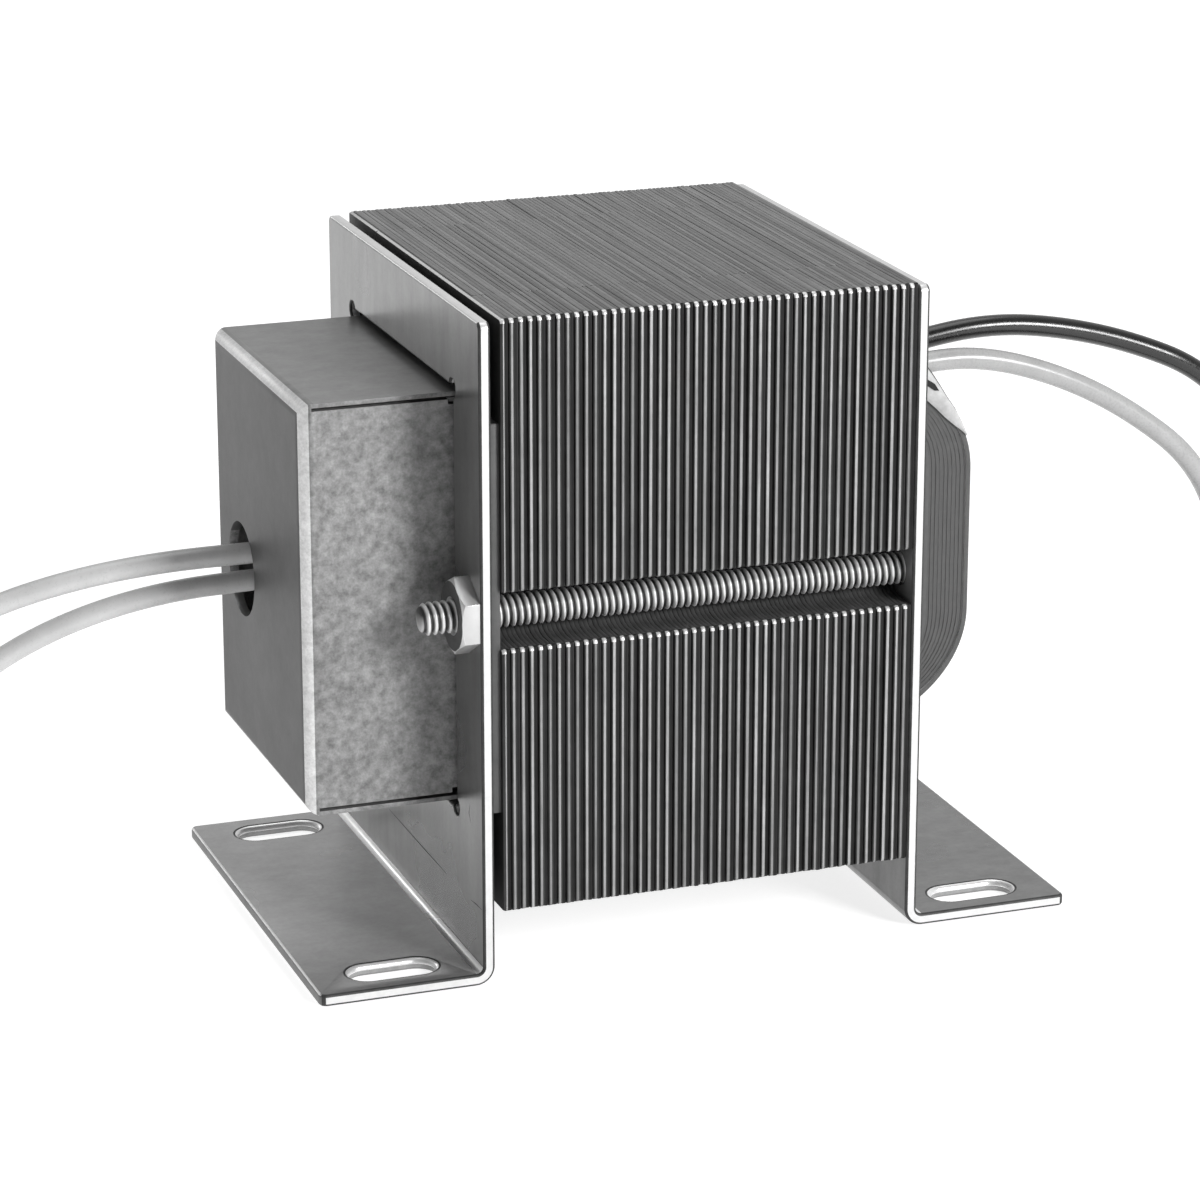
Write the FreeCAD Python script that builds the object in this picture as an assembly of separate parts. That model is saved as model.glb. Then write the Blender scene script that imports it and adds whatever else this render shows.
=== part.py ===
import FreeCAD, Part
import math
import os

from FreeCAD import Vector as V

# Foot mount transformer: a shell-type core of interleaved E and I laminations,
# stacked along X, between two L-shaped foot brackets. The coil wraps the
# horizontal centre leg (its axis runs along Y) and bows out of both ends of the
# stack: bare on the right, under a folded steel cover on the left.
# Millimetres. +X runs along the stack, -Y is the front, +Z is up.
# Origin: centre of the four foot slots, on the plane the feet stand on.

# ---------------------------------------------------------------- dimensions
TONGUE = 25.4            # width of the E's centre leg
CORE_H = 3 * TONGUE      # 76.2, along Z
CORE_D = 2.5 * TONGUE    # 63.5, along Y
LEG = TONGUE / 2         # 12.7, outer legs, spine and I
WIN_L = 1.5 * TONGUE     # 38.1, window length along Y
LAYERS = 92              # laminations in the stack, laid one by one
LAM = 0.595              # one lamination
STACK = LAYERS * LAM     # 54.74, along X
I_SHY = 0.30             # the I strips stop this far short of the E spines
NOTCH_W = 7.2            # bolt notch: height of the mouth
NOTCH_D = 7.2            # bolt notch: depth from the spine's face

SHEET = 1.52             # bracket sheet
COVER_T = 1.20           # cover sheet
FOOT = 22.83             # foot, from the plate's inner face to its end
CORE_Z = 9.4             # underside of the core above the base plane
PLATE_SHY = 0.30         # the bracket stops this far below the core's top
BEND_IN = 0.90           # inner bend radius of the bracket
SLOT_L = 11.1            # foot slots, along X
SLOT_W = 4.8
SLOT_X = 39.8            # slot centres
SLOT_Y = 26.2
WINDOW_Y = 21.4          # half width of the bracket's coil window
WINDOW_Z = 27.5          # half height of it
RELIEF = 1.1             # radius of the corner reliefs of that window

BOLT_D = 4.17
BOLT_HOLE = 4.8
BOLT_IN = 4.6            # bolt axis behind the core's front (and rear) face
BOLT_TIP = 4.1           # thread that stands past the nut
NUT_AF = 8.73
NUT_T = 2.3
TAIL = 0.5               # thread that stands past the right plate

COVER_REACH = 20.8       # cover's end face, from the left plate's inner face
COVER_Y = 20.4           # half width
COVER_Z = 26.6           # half height
COVER_R = 1.9            # outer radius of its folded edges
FLANGE_Y = 31.0          # the mounting flanges reach this far out
SEAM = 0.42              # hairline between the top (or bottom) and a side wall
SEAM_DOWN = 0.55         # its place below the top's (above the bottom's) surface
HOLE_R = 6.2             # lead hole
HOLE_Y = 8.4
HOLE_DZ = -2.5           # below the coil's centre

COIL_L = 18.5            # half length of the coil along Y
LEAD_D = 2.8             # lead over its insulation
WIRE_D = 1.2             # its stripped strands
TIP_L = 8.0

# ------------------------------------------------------------ derived places
COVER_GAP = COVER_T                              # flange between plate and core
XI = (STACK + COVER_GAP) / 2                     # 27.97, inner faces of the plates
XL = -XI + COVER_GAP                             # left face of the core
XR = XI                                          # right face of the core
XM = (XL + XR) / 2                               # middle of the stack
ZC = CORE_Z + CORE_H / 2                         # 47.5, middle of the core
ZT = CORE_Z + CORE_H
YF = -CORE_D / 2
YB = CORE_D / 2
YW = WIN_L / 2
BOLT_Y = CORE_D / 2 - BOLT_IN

os.makedirs("parts", exist_ok=True)
made = {}


def save(name, shape):
    made[name] = shape
    shape.exportStep("parts/" + name + ".step")
    print("%-30s solids %3d  volume %10.2f  valid %s" % (
        name, len(shape.Solids), shape.Volume, shape.isValid()))


def box(x0, x1, y0, y1, z0, z1):
    return Part.makeBox(x1 - x0, y1 - y0, z1 - z0, V(x0, y0, z0))


def prism(points, axis, length):
    """Closed polygon of points, pushed along axis by length."""
    wire = Part.makePolygon(points + [points[0]])
    return Part.Face(wire).extrude(axis * length)


# -------------------------------------------------------------- laminations
def notch(x0, x1, side):
    """U-shaped cutter for the bolt notch, open to side (-1 front, +1 rear)."""
    face = CORE_D / 2
    r = NOTCH_W / 2
    deep = face - NOTCH_D + r
    lo, hi = sorted((side * deep, side * (face + 1)))
    body = box(x0, x1, lo, hi, ZC - r, ZC + r)
    round_end = Part.makeCylinder(r, x1 - x0, V(x0, side * deep, ZC), V(1, 0, 0))
    return body.fuse(round_end).removeSplitter()


def e_plate(x, side):
    """An E with its spine on side: three legs reach to the I's inner edge."""
    s = side
    spine = s * CORE_D / 2
    inner = s * YW
    end = -s * YW
    zb, zt = CORE_Z, ZT
    pts = [(spine, zb), (end, zb), (end, zb + LEG), (inner, zb + LEG),
           (inner, zb + 2 * LEG), (end, zb + 2 * LEG), (end, zt - 2 * LEG),
           (inner, zt - 2 * LEG), (inner, zt - LEG), (end, zt - LEG),
           (end, zt), (spine, zt)]
    plate = prism([V(x, y, z) for y, z in pts], V(1, 0, 0), LAM)
    return plate.cut(notch(x - 0.1, x + LAM + 0.1, s))


def i_plate(x, side):
    """The I that closes the E's open side; it stops I_SHY short of the spines."""
    y0, y1 = sorted((side * YW, side * (CORE_D / 2 - I_SHY)))
    return box(x, x + LAM, y0, y1, CORE_Z, ZT).cut(notch(x - 0.1, x + LAM + 0.1, side))


e_front, i_rear, e_rear, i_front = [], [], [], []
for n in range(LAYERS):
    x = XL + n * LAM
    if n % 2 == 0:
        e_front.append(e_plate(x, -1))
        i_rear.append(i_plate(x, 1))
    else:
        e_rear.append(e_plate(x, 1))
        i_front.append(i_plate(x, -1))
save("e_laminations_front", Part.makeCompound(e_front))
save("i_laminations_rear", Part.makeCompound(i_rear))
save("e_laminations_rear", Part.makeCompound(e_rear))
save("i_laminations_front", Part.makeCompound(i_front))


# ---------------------------------------------------------------- brackets
def slot(cx, cy, z0, z1, length, width):
    r = width / 2
    h = length / 2 - r
    s = box(cx - h, cx + h, cy - r, cy + r, z0, z1)
    for sx in (-1, 1):
        s = s.fuse(Part.makeCylinder(r, z1 - z0, V(cx + sx * h, cy, z0)))
    return s.removeSplitter()


def bracket(side):
    """One folded plate: upright against the core, foot turned outward."""
    s = side
    x_in, x_out, x_end = s * XI, s * (XI + SHEET), s * (XI + FOOT)
    top = ZT - PLATE_SHY
    ro, ri = BEND_IN + SHEET, BEND_IN
    # profile in XZ with the fold drawn in
    k = math.sqrt(0.5)
    c_o = (x_in + s * ro, ro)                 # centre of both fold radii
    edges = []

    def p(x, z):
        return V(x, YF, z)

    edges.append(Part.LineSegment(p(x_in, top), p(x_in, ro)))
    edges.append(Part.Arc(p(x_in, ro), p(c_o[0] - s * ro * k, c_o[1] - ro * k),
                          p(x_in + s * ro, 0)))
    edges.append(Part.LineSegment(p(x_in + s * ro, 0), p(x_end, 0)))
    edges.append(Part.LineSegment(p(x_end, 0), p(x_end, SHEET)))
    edges.append(Part.LineSegment(p(x_end, SHEET), p(x_in + s * ro, SHEET)))
    edges.append(Part.Arc(p(x_in + s * ro, SHEET),
                          p(c_o[0] - s * ri * k, c_o[1] - ri * k), p(x_out, ro)))
    edges.append(Part.LineSegment(p(x_out, ro), p(x_out, top)))
    edges.append(Part.LineSegment(p(x_out, top), p(x_in, top)))
    wire = Part.Wire([e.toShape() for e in edges])
    plate = Part.Face(wire).extrude(V(0, CORE_D, 0))
    # softened corners of the upright's top and of the foot's end
    x0, x1 = sorted((x_in - s * 1, x_out + s * 1))

    def corner_cut(axis_pt, direction, r, sy, sz, span):
        """Square minus quarter round, to round off an outside corner."""
        ax, ay, az = axis_pt
        if direction == "x":
            sq = box(span[0], span[1], min(ay, ay + sy * (r + 1)), max(ay, ay + sy * (r + 1)),
                     min(az, az + sz * (r + 1)), max(az, az + sz * (r + 1)))
            rd = Part.makeCylinder(r, span[1] - span[0], V(span[0], ay, az), V(1, 0, 0))
        else:
            sq = box(min(ax, ax + sz * (r + 1)), max(ax, ax + sz * (r + 1)),
                     min(ay, ay + sy * (r + 1)), max(ay, ay + sy * (r + 1)), span[0], span[1])
            rd = Part.makeCylinder(r, span[1] - span[0], V(ax, ay, span[0]), V(0, 0, 1))
        return sq.cut(rd)

    r = 1.0
    for sy in (-1, 1):
        plate = plate.cut(corner_cut((0, sy * (CORE_D / 2 - r), top - r), "x", r, sy, 1, (x0, x1)))
        plate = plate.cut(corner_cut((x_end - s * r, sy * (CORE_D / 2 - r), 0), "z", r, sy, s,
                                     (-1, SHEET + 1)))
    # coil window with a small round relief at each corner
    window = box(x0, x1, -WINDOW_Y, WINDOW_Y, ZC - WINDOW_Z, ZC + WINDOW_Z)
    for sy in (-1, 1):
        for sz in (-1, 1):
            window = window.fuse(Part.makeCylinder(
                RELIEF, x1 - x0, V(x0, sy * (WINDOW_Y - 0.2), ZC + sz * (WINDOW_Z - 0.2)),
                V(1, 0, 0)))
    plate = plate.cut(window)
    # clearance holes on the left, tapped holes on the right
    hole = BOLT_HOLE / 2 if s < 0 else BOLT_D / 2 + 0.01
    for sy in (-1, 1):
        plate = plate.cut(Part.makeCylinder(hole, x1 - x0, V(x0, sy * BOLT_Y, ZC),
                                            V(1, 0, 0)))
        plate = plate.cut(slot(s * SLOT_X, sy * SLOT_Y, -1, SHEET + 1, SLOT_L, SLOT_W))
    return plate.removeSplitter()


save("left_bracket", bracket(-1))
save("right_bracket", bracket(1))


# ------------------------------------------------------------------- coil
def loop(hx, hz, a, b, y0, y1):
    """Rounded oblong in XZ about the stack's middle, pushed from y0 to y1.
    Its corners are quarter ellipses, a along X and b along Z, because wire
    bows out past the ends of the stack."""
    k = 0.5523
    cx, cz = XM, ZC
    sharp = a <= 0 or b <= 0
    if sharp:
        return box(cx - hx, cx + hx, y0, y1, cz - hz, cz + hz)
    edges = []

    def p(x, z):
        return V(cx + x, y0, cz + z)

    quads = [((hx, hz - b), (hx, hz - b + k * b), (hx - a + k * a, hz), (hx - a, hz)),
             ((-hx + a, hz), (-hx + a - k * a, hz), (-hx, hz - b + k * b), (-hx, hz - b)),
             ((-hx, -hz + b), (-hx, -hz + b - k * b), (-hx + a - k * a, -hz), (-hx + a, -hz)),
             ((hx - a, -hz), (hx - a + k * a, -hz), (hx, -hz + b - k * b), (hx, -hz + b))]
    for i, q in enumerate(quads):
        bz = Part.BezierCurve()
        bz.setPoles([p(*c) for c in q])
        edges.append(bz.toShape())
        nxt = quads[(i + 1) % 4][0]
        edges.append(Part.LineSegment(p(*q[3]), p(*nxt)).toShape())
    return Part.Face(Part.Wire(edges)).extrude(V(0, y1 - y0, 0))


PROFILES = [
    ("bore", STACK / 2 + 0.25, TONGUE / 2 + 0.25, 0, 0),
    ("winding_tube", 28.62, 13.95, 1.5, 1.5),
    ("primary_winding", 34.70, 18.95, 7.5, 9.0),
    ("interwinding_insulation", 35.25, 19.45, 8.0, 9.7),
    ("secondary_winding", 40.48, 24.40, 18.8, 15.0),
    ("coil_wrap", 41.10, 25.10, 19.4, 15.6),
]
HALF = {"winding_tube": 18.8, "primary_winding": 18.2, "interwinding_insulation": 18.5,
        "secondary_winding": 18.2, "coil_wrap": COIL_L}
rings = {}
for i in range(1, len(PROFILES)):
    name, hx, hz, a, b = PROFILES[i]
    h = HALF[name]
    outer = loop(hx, hz, a, b, -h, h)
    inner = loop(*PROFILES[i - 1][1:], -h - 1, h + 1)
    rings[name] = outer.cut(inner)
WRAP_LEFT = XM - PROFILES[-1][1]                 # flat end of the coil, in the cover


# -------------------------------------------------------------------- leads
def route(points, d, label):
    """Straight runs joined by tangent arcs, each as large as its runs allow."""
    pts = [V(*p) for p in points]
    edges = []
    length = 0.0
    at = pts[0]
    radii = []
    for i in range(1, len(pts) - 1):
        a = pts[i].sub(pts[i - 1])
        b = pts[i + 1].sub(pts[i])
        run = min(a.Length, b.Length)
        ua = V(a).normalize()
        ub = V(b).normalize()
        turn = math.acos(max(-1, min(1, ua.dot(ub))))
        back = 0.45 * run
        r = back / math.tan(turn / 2)
        radii.append(r)
        t0 = pts[i].sub(V(ua).multiply(back))
        t1 = pts[i].add(V(ub).multiply(back))
        mid_dir = V(ub).sub(ua).normalize()
        centre = pts[i].add(V(mid_dir).multiply(r / math.cos(turn / 2)))
        mid = centre.sub(V(mid_dir).multiply(r))
        if t0.sub(at).Length > 1e-6:
            edges.append(Part.LineSegment(at, t0).toShape())
            length += t0.sub(at).Length
        edges.append(Part.Arc(t0, mid, t1).toShape())
        length += r * turn
        at = t1
    edges.append(Part.LineSegment(at, pts[-1]).toShape())
    length += pts[-1].sub(at).Length
    path = Part.Wire(edges)
    first = pts[1].sub(pts[0]).normalize()
    section = Part.Wire([Part.Circle(pts[0], first, d / 2).toShape()])
    tube = path.makePipeShell([section], True, False)
    want = math.pi * d * d / 4 * length
    print("%-26s length %7.2f  radii %s  volume ratio %.4f" % (
        label, length, [round(r, 1) for r in radii], tube.Volume / want))
    return tube, length


def wound(entry, heading, turn_sign, r1, r2, travel, d, label):
    """One neat turn lying flat: half a circle of r1, then the rest of r2, so
    that the end lies inside the start. heading is the angle of travel at entry,
    turn_sign +1 for anticlockwise. Returns the solid, its length, and the end
    point with its heading."""
    h = math.radians(heading)
    t = turn_sign
    u = V(math.cos(h), math.sin(h), 0)
    n = V(-math.sin(h) * t, math.cos(h) * t, 0)          # towards the centre
    start = V(*entry)
    c1 = start.add(V(n).multiply(r1))

    def on(c, r, ang, base):
        """Point of the circle, ang degrees of travel after base direction."""
        a = math.radians(ang)
        out = V(base).multiply(math.cos(a)).add(V(u0).multiply(math.sin(a)))
        return c.add(out.multiply(r))

    u0 = u
    base = V(n).multiply(-1)
    p0, p1, p2 = on(c1, r1, 0, base), on(c1, r1, 90, base), on(c1, r1, 180, base)
    # second circle shares the tangent at p2
    c2 = p2.add(V(n).multiply(-r2))
    rest = travel - 180
    base2 = n
    u0 = V(u).multiply(-1)
    q1, q2 = on(c2, r2, rest / 2, base2), on(c2, r2, rest, base2)
    a_end = math.radians(rest)
    end_dir = V(base2).multiply(-math.sin(a_end)).add(V(u0).multiply(math.cos(a_end)))
    path = Part.Wire([Part.Arc(p0, p1, p2).toShape(), Part.Arc(p2, q1, q2).toShape()])
    section = Part.Wire([Part.Circle(p0, u, d / 2).toShape()])
    solid = path.makePipeShell([section], True, False)
    length = math.pi * r1 + math.radians(rest) * r2
    print("%-26s length %7.2f  volume ratio %.4f" % (
        label, length, solid.Volume / (math.pi * d * d / 4 * length)))
    return solid, length, q2, end_dir


R_LEAD = LEAD_D / 2
Z1 = R_LEAD                     # on the surface
Z2 = R_LEAD + LEAD_D + 0.05     # on the turn below

# name, points of the free run, sense of the put-away turn, its r1, r2, travel
LEADS = [
    ("secondary_lead_upper",
     [(WRAP_LEFT, 5.0, 48.1), (-48.8, 5.0, 48.1), (-60.4, 5.2, 48.0), (-71.6, 5.8, 46.7),
      (-82.5, 7.0, 43.8), (-94.8, 3.5, 39.8), (-105.0, -1.5, 32.0), (-111.5, -2.3, 19.9),
      (-114.7, 4.9, 8.6), (-115.2, 18.0, Z2), (-115.5, 26.0, Z2)],
     -1, 15.8, 13.0, 330),
    ("secondary_lead_lower",
     [(WRAP_LEFT, 5.0, 44.5), (-48.5, 5.0, 44.5), (-60.5, 5.1, 44.0), (-71.7, 6.1, 41.3),
      (-81.5, 8.0, 36.4), (-91.4, 5.0, 30.6), (-99.8, -1.6, 22.9), (-106.7, -3.2, 11.9),
      (-111.8, 4.0, 3.4), (-114.3, 16.6, Z1), (-115.2, 24.8, Z1)],
     -1, 15.8, 13.0, 330),
    ("primary_lead_black",
     [(29.6, -10.6, 70.95), (38.8, -10.9, 73.1), (48.2, -11.3, 74.0), (57.5, -11.6, 72.8),
      (67.1, -12.0, 70.2), (77.0, -13.2, 66.0), (85.6, -12.2, 57.4), (90.0, -9.8, 46.2),
      (91.1, -7.4, 33.8), (89.8, -7.2, 21.0), (87.5, -12.2, 9.6), (86.3, -23.6, Z2),
      (86.4, -31.8, Z2)],
     1, 15.4, 12.6, 305),
    ("primary_lead_white",
     [(29.6, -14.6, 69.65), (36.9, -14.9, 71.0), (45.7, -15.2, 70.6), (55.8, -15.6, 67.3),
      (65.4, -16.0, 62.1), (74.6, -17.2, 54.8), (80.9, -14.3, 43.8), (83.6, -9.9, 33.0),
      (84.4, -7.8, 20.6), (83.0, -11.6, 8.2), (82.2, -23.2, Z1), (82.8, -32.6, Z1)],
     1, 15.4, 12.6, 305),
]

lead_cut = []
for name, pts, sense, r1, r2, travel in LEADS:
    tube, l1 = route(pts, LEAD_D, name)
    heading = math.degrees(math.atan2(pts[-1][1] - pts[-2][1], pts[-1][0] - pts[-2][0]))
    ring, l2, end, end_dir = wound(pts[-1], heading, sense, r1, r2, travel, LEAD_D, name + "_coil")
    tip = Part.makeCylinder(WIRE_D / 2, TIP_L, end, end_dir)
    print("%-26s total %.1f" % (name, l1 + l2 + TIP_L))
    save(name, tube)
    save(name + "_coil", ring)
    save(name + "_tip", tip)
    if name.startswith("primary"):
        fat, _ = route(pts[:4], LEAD_D + 0.04, name + " groove")
        lead_cut.append(fat)

for name in ("winding_tube", "primary_winding", "interwinding_insulation",
             "secondary_winding", "coil_wrap"):
    shape = rings[name]
    if name in ("secondary_winding", "coil_wrap"):
        for fat in lead_cut:
            shape = shape.cut(fat)
    save(name, shape)


# ------------------------------------------------------------------ cover
def cover():
    """One folded blank: end, top, bottom, front and back walls, and a flange
    turned out from the front and the back wall for the bolts to clamp."""
    x_end = -XI - COVER_REACH
    x_fl = -XI                     # flange: from here to the core's face
    t = COVER_T
    outer = box(x_end, x_fl + t, -COVER_Y, COVER_Y, ZC - COVER_Z, ZC + COVER_Z)
    rim = [e for e in outer.Edges
           if abs(e.BoundBox.XMin - x_end) < 1e-6 and abs(e.BoundBox.XMax - x_end) < 1e-6]
    outer = outer.makeFillet(COVER_R, rim)
    inner = box(x_end + t, x_fl + t + 5, -COVER_Y + t, COVER_Y - t,
                ZC - COVER_Z + t, ZC + COVER_Z - t)
    rim = [e for e in inner.Edges
           if abs(e.BoundBox.XMin - x_end - t) < 1e-6 and abs(e.BoundBox.XMax - x_end - t) < 1e-6]
    inner = inner.makeFillet(COVER_R - t, rim)
    shell = outer.cut(inner)
    # flanges, from the front and the back wall
    zf = COVER_Z - 1.6
    for s in (-1, 1):
        y0, y1 = sorted((s * (COVER_Y - t), s * FLANGE_Y))
        fl = box(x_fl, x_fl + t, y0, y1, ZC - zf, ZC + zf)
        # bend: fill the inside corner with its radius
        r = 0.8
        ya, yb = sorted((s * COVER_Y, s * (COVER_Y + r)))
        gusset = box(x_fl - r, x_fl, ya, yb, ZC - zf, ZC + zf).cut(
            Part.makeCylinder(r, 2 * zf + 2, V(x_fl - r, s * (COVER_Y + r), ZC - zf - 1)))
        shell = shell.fuse(fl).fuse(gusset)
        # outside of the same bend
        ro = r + t
        yc = s * (COVER_Y + r)
        ya, yb = sorted((s * (COVER_Y - t), yc))
        square = box(x_fl - r, x_fl + t, ya, yb, ZC - COVER_Z - 1, ZC + COVER_Z + 1)
        square = square.cut(Part.makeCylinder(ro, 2 * COVER_Z + 4,
                                              V(x_fl - r, yc, ZC - COVER_Z - 2)))
        shell = shell.cut(square)
        shell = shell.cut(Part.makeCylinder(BOLT_HOLE / 2 + 0.1, 3 * t,
                                            V(x_fl - t, s * BOLT_Y, ZC), V(1, 0, 0)))
        # walls end at the flange's relief above and below it
        for sz in (-1, 1):
            z0, z1 = sorted((ZC + sz * zf, ZC + sz * (COVER_Z - SEAM_DOWN)))
            ya, yb = sorted((s * (COVER_Y - t - 0.5), s * (COVER_Y + 1)))
            shell = shell.cut(box(x_fl - 1.8, x_fl + t + 1, ya, yb, z0, z1))
    # top and bottom stop at the plate's inner face
    for sz in (-1, 1):
        z0, z1 = sorted((ZC + sz * (COVER_Z - t - 0.01), ZC + sz * (COVER_Z + 1)))
        shell = shell.cut(box(x_fl, x_fl + t + 1, -COVER_Y - 1, COVER_Y + 1, z0, z1))
    # seams: top and bottom lap over the side walls, with a hairline gap
    for s in (-1, 1):
        for sz in (-1, 1):
            z0, z1 = sorted((ZC + sz * (COVER_Z - SEAM_DOWN - SEAM),
                             ZC + sz * (COVER_Z - SEAM_DOWN)))
            ya, yb = sorted((s * (COVER_Y - t - 0.2), s * (COVER_Y + 1)))
            shell = shell.cut(box(x_end + COVER_R - 0.3, x_fl + t + 1, ya, yb, z0, z1))
    shell = shell.cut(Part.makeCylinder(HOLE_R, 4 * t, V(x_end - t, HOLE_Y, ZC + HOLE_DZ),
                                        V(1, 0, 0)))
    return shell.removeSplitter()


save("coil_cover", cover())


# ------------------------------------------------------------- fasteners
def hexagon(x, y, z, af, length):
    """Hex prism along +X with corners up and down."""
    r = af / math.sqrt(3)
    pts = [V(x, y + r * math.sin(math.radians(60 * i)), z + r * math.cos(math.radians(60 * i)))
           for i in range(6)]
    return prism(pts, V(1, 0, 0), length)


def bolt(y):
    """Threaded over its whole length (the thread is a plain cylinder here),
    screwed into the right plate, with a chamfered tip past the nut on the
    left."""
    x_tail = XI + SHEET + TAIL
    x_tip = -XI - SHEET - NUT_T - BOLT_TIP
    shank = Part.makeCylinder(BOLT_D / 2, x_tail - x_tip - 1.0, V(x_tip + 0.6, y, ZC), V(1, 0, 0))
    tip = Part.makeCone(BOLT_D / 2 - 0.6, BOLT_D / 2, 0.6, V(x_tip, y, ZC), V(1, 0, 0))
    tail = Part.makeCone(BOLT_D / 2, BOLT_D / 2 - 0.4, 0.4, V(x_tail - 0.4, y, ZC), V(1, 0, 0))
    return shank.fuse(tip).fuse(tail).removeSplitter()


def nut(y):
    """Thin hex nut on the left plate, chamfered on its outer face."""
    x1 = -XI - SHEET
    x0 = x1 - NUT_T
    body = hexagon(x0, y, ZC, NUT_AF, NUT_T)
    r = NUT_AF / math.sqrt(3)
    crown = Part.makeCone(NUT_AF / 2 - 0.05, NUT_AF / 2 - 0.05 + NUT_T * 1.75, NUT_T,
                          V(x0, y, ZC), V(1, 0, 0))
    body = body.common(crown)
    bore = Part.makeCylinder(BOLT_D / 2 + 0.01, NUT_T + 2, V(x0 - 1, y, ZC), V(1, 0, 0))
    mouth = Part.makeCone(BOLT_D / 2 + 0.35, BOLT_D / 2, 0.36, V(x0, y, ZC), V(1, 0, 0))
    return body.cut(bore).cut(mouth)


save("front_bolt", bolt(-BOLT_Y))
save("rear_bolt", bolt(BOLT_Y))
save("front_nut", nut(-BOLT_Y))
save("rear_nut", nut(BOLT_Y))
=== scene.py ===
import bpy
import bmesh
import math
import numpy as np
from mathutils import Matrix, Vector


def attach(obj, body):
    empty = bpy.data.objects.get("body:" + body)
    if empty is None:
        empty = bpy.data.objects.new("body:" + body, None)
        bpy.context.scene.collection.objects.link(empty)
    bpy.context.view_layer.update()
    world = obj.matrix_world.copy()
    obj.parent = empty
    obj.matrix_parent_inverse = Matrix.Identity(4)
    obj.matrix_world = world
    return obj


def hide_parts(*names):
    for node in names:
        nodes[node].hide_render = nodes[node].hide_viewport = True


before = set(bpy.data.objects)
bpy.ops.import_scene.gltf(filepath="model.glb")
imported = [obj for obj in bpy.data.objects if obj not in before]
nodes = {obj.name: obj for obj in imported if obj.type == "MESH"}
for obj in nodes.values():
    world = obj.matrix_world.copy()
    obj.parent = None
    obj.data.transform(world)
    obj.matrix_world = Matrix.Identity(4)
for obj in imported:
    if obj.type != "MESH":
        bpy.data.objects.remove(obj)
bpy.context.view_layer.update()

MM = 0.001
scene = bpy.context.scene
rng = np.random.default_rng(7)

# ------------------------------------------------------------------ camera
AZ, EL, DIST = math.radians(19.792), math.radians(17.662), 548.921 * MM
target = Vector((-9.76, -19.836, 45.0)) * MM
back = Vector((-math.sin(AZ) * math.cos(EL), -math.cos(AZ) * math.cos(EL), math.sin(EL)))
cam_data = bpy.data.cameras.new("camera")
cam_data.lens = 130.536
cam_data.sensor_width = 36.0
cam_data.clip_start, cam_data.clip_end = 0.01, 50.0
camera = bpy.data.objects.new("camera", cam_data)
scene.collection.objects.link(camera)
camera.location = target + back * DIST
camera.rotation_euler = (-back).to_track_quat("-Z", "Y").to_euler()
scene.camera = camera

# ------------------------------------------------- sizes shared with the CAD
TONGUE = 25.4
CORE_H, CORE_D, LEG = 76.2, 63.5, 12.7
LAYERS, LAM = 92, 0.595
XI, XL, XM = 27.97, -26.77, 0.6
CORE_Z, ZC, ZT = 9.4, 47.5, 85.6
YW = 19.05
SHEET = 1.52
BOLT_Y = 27.15
NUT_T, BOLT_TIP, BOLT_D = 2.3, 4.1, 4.17
LEAD_D, WIRE_D, TIP_L = 2.8, 1.2, 8.0
Z1, Z2 = 1.4, 4.25
WRAP_LEFT = XM - 41.10


# ------------------------------------------------------------------ materials
def group(name):
    m = bpy.data.materials.new(name)
    m.use_nodes = True
    t = m.node_tree
    p = t.nodes["Principled BSDF"]
    return m, t, p


def coords(t, scale):
    """Object coordinates in metres, stretched by scale."""
    c = t.nodes.new("ShaderNodeTexCoord")
    mp = t.nodes.new("ShaderNodeMapping")
    mp.inputs["Scale"].default_value = scale
    t.links.new(c.outputs["Object"], mp.inputs["Vector"])
    return mp.outputs["Vector"]


def noise(t, scale, size=1.0, detail=4.0, rough=0.55):
    n = t.nodes.new("ShaderNodeTexNoise")
    n.inputs["Scale"].default_value = size
    n.inputs["Detail"].default_value = detail
    n.inputs["Roughness"].default_value = rough
    t.links.new(coords(t, scale), n.inputs["Vector"])
    return n.outputs["Fac"]


def ramp(t, fac, stops):
    r = t.nodes.new("ShaderNodeValToRGB")
    e = r.color_ramp.elements
    while len(e) < len(stops):
        e.new(0.5)
    for el, (pos, v) in zip(e, stops):
        el.position = pos
        el.color = (v, v, v, 1) if not hasattr(v, "__len__") else (*v, 1)
    t.links.new(fac, r.inputs["Fac"])
    return r.outputs["Color"]


def mixed(t, kind, fac, a, b):
    """Mix of two colours; fac, a and b are sockets or numbers."""
    m = t.nodes.new("ShaderNodeMix")
    m.data_type = "RGBA"
    m.blend_type = kind
    for key, v in (("Factor", fac), ("A", a), ("B", b)):
        sock = [s for s in m.inputs if s.name == key and (
            s.type == ("VALUE" if key == "Factor" else "RGBA"))][0]
        if isinstance(v, (int, float)):
            sock.default_value = v if key == "Factor" else (v, v, v, 1)
        else:
            t.links.new(v, sock)
    return [s for s in m.outputs if s.type == "RGBA"][0]


def bump(t, p, height, strength, distance):
    b = t.nodes.new("ShaderNodeBump")
    b.inputs["Strength"].default_value = strength
    b.inputs["Distance"].default_value = distance
    t.links.new(height, b.inputs["Height"])
    t.links.new(b.outputs["Normal"], p.inputs["Normal"])


def attr(t, name):
    a = t.nodes.new("ShaderNodeAttribute")
    a.attribute_name = name
    return a.outputs["Fac"]


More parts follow.
